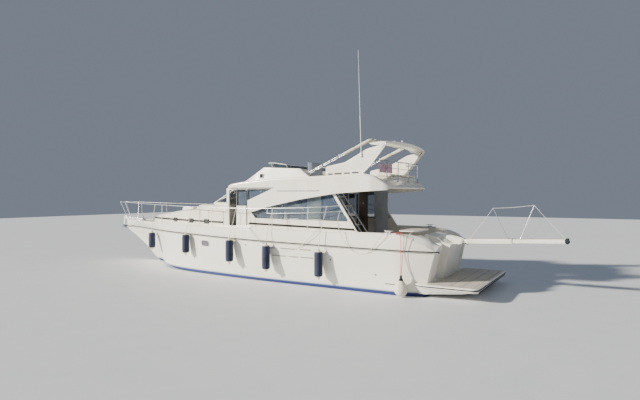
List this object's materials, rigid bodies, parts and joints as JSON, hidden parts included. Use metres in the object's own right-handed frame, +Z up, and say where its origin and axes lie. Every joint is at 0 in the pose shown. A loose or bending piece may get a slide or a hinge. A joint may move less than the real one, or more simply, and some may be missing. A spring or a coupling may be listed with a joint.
{
  "type": "motor yacht",
  "caption": "White flybridge motor yacht afloat, with a glazed cabin, rails, a bathing platform, a boarding gangway, fenders, propellers and rudders.",
  "frame": {"origin": "amidships on the centreline, at the waterline", "axes": "+X to the bow, +Y to port, +Z up"},
  "size_m": [21.093, 5.2476, 9.4277],
  "materials": {
    "gelcoat": "gloss",
    "bottom_paint": "matt",
    "dark_rubber": "satin",
    "teak": "weathered",
    "stainless": "polished",
    "propeller_metal": "satin",
    "tinted_glass": "polished",
    "white_enamel": "satin",
    "pale_vinyl": "satin",
    "maroon_cloth": "matt",
    "canvas": "matt",
    "curtain_cloth": "matt",
    "navy_cover": "matt",
    "buff_plastic": "satin",
    "cabin_wood": "satin",
    "engine_enamel": "gloss",
    "rope": "matt"
  },
  "bodies": {
    "hull": {"hull": "gelcoat", "rub_rail": "dark_rubber", "toe_rail": "gelcoat", "swim_platform": "teak", "foredeck_trunk": "gelcoat", "port_cabin_side": "gelcoat", "starboard_cabin_side": "gelcoat", "port_side_glass": "tinted_glass", "starboard_side_glass": "tinted_glass", "saloon_bulkhead": "gelcoat", "main_sole": "cabin_wood", "windscreen_frame": "gelcoat", "windscreen_glass": "tinted_glass", "flybridge_deck": "gelcoat", "flybridge_windscreen": "tinted_glass", "flybridge_helm": "gelcoat", "flybridge_seat": "pale_vinyl", "flybridge_settee": "pale_vinyl", "settee_backrest": "maroon_cloth", "flybridge_rail": "stainless", "radar_arch": "gelcoat", "whip_antenna": "white_enamel", "flybridge_ladder": "stainless", "port_guard_rail": "stainless", "starboard_guard_rail": "stainless", "bow_pulpit": "stainless", "anchor_gear": "stainless", "windlass": "stainless", "gangway_base": "gelcoat", "cockpit_table": "gelcoat", "cockpit_bench": "gelcoat", "engines": "engine_enamel", "port_shaft_bracket": "propeller_metal", "starboard_shaft_bracket": "propeller_metal", "helm_console": "gelcoat", "helm_seat": "pale_vinyl", "saloon_sofa": "pale_vinyl", "port_curtains": "curtain_cloth", "starboard_curtains": "curtain_cloth", "fender_1": "navy_cover", "fender_2": "navy_cover", "fender_3": "navy_cover", "fender_4": "navy_cover", "fender_5": "navy_cover", "ball_fender": "buff_plastic", "hanging_line_1": "rope", "hanging_line_2": "rope"},
    "port_propeller": {"port_propeller": "propeller_metal"},
    "starboard_propeller": {"starboard_propeller": "propeller_metal"},
    "port_rudder": {"port_rudder": "bottom_paint"},
    "starboard_rudder": {"starboard_rudder": "bottom_paint"},
    "helm_wheel": {"helm_wheel": "dark_rubber"},
    "flybridge_wheel": {"flybridge_wheel": "stainless"},
    "port_helm_door": {"port_helm_door": "gelcoat"},
    "starboard_helm_door": {"starboard_helm_door": "gelcoat"},
    "saloon_door": {"saloon_door": "stainless"},
    "foredeck_hatch": {"foredeck_hatch": "tinted_glass"},
    "gangway": {"gangway": "gelcoat"},
    "awning": {"awning_frame": "stainless", "awning_canvas": "canvas"}
  },
  "joints": [
    {"name": "port_propeller_turn", "type": "hinge", "parent": "hull", "child": "port_propeller", "pos_m": [-6.38, 0.85, -0.96], "axis": [0.9848, 0, 0.1736], "continuous": true},
    {"name": "starboard_propeller_turn", "type": "hinge", "parent": "hull", "child": "starboard_propeller", "pos_m": [-6.38, -0.85, -0.96], "axis": [0.9848, 0, 0.1736], "continuous": true},
    {"name": "port_rudder_turn", "type": "hinge", "parent": "hull", "child": "port_rudder", "pos_m": [-7, 0.85, -0.8], "axis": [0, 0, 1], "range_deg": [-35, 35]},
    {"name": "starboard_rudder_turn", "type": "hinge", "parent": "hull", "child": "starboard_rudder", "pos_m": [-7, -0.85, -0.8], "axis": [0, 0, 1], "range_deg": [-35, 35]},
    {"name": "helm_wheel_turn", "type": "hinge", "parent": "hull", "child": "helm_wheel", "pos_m": [0.262, -0.82, 2.385], "axis": [-0.9613, 0, 0.2756], "range_deg": [-540, 540]},
    {"name": "flybridge_wheel_turn", "type": "hinge", "parent": "hull", "child": "flybridge_wheel", "pos_m": [-1.905, 0.76, 4.038], "axis": [-0.9613, 0, 0.2756], "range_deg": [-540, 540]},
    {"name": "port_helm_door_slide", "type": "slide", "parent": "hull", "child": "port_helm_door", "axis": [1, 0, 0], "range_m": [-0.52, 0.36]},
    {"name": "starboard_helm_door_slide", "type": "slide", "parent": "hull", "child": "starboard_helm_door", "axis": [1, 0, 0], "range_m": [-0.52, 0.36]},
    {"name": "saloon_door_slide", "type": "slide", "parent": "hull", "child": "saloon_door", "axis": [0, 1, 0], "range_m": [0, 0.78]},
    {"name": "foredeck_hatch_lift", "type": "hinge", "parent": "hull", "child": "foredeck_hatch", "pos_m": [4.86, 0, 2.6403], "axis": [0, 1, 0], "range_deg": [0, 80]},
    {"name": "gangway_lift", "type": "hinge", "parent": "hull", "child": "gangway", "pos_m": [-8.11, 0, 1.665], "axis": [0, 1, 0], "range_deg": [-10, 60]},
    {"name": "awning_lift", "type": "hinge", "parent": "hull", "child": "awning", "pos_m": [-2.93, 0, 4.005], "axis": [0, 1, 0], "range_deg": [0, 100]}
  ],
  "couplings": [
    {"joint": "starboard_rudder_turn", "follows": "port_rudder_turn", "ratio": 1}
  ]
}
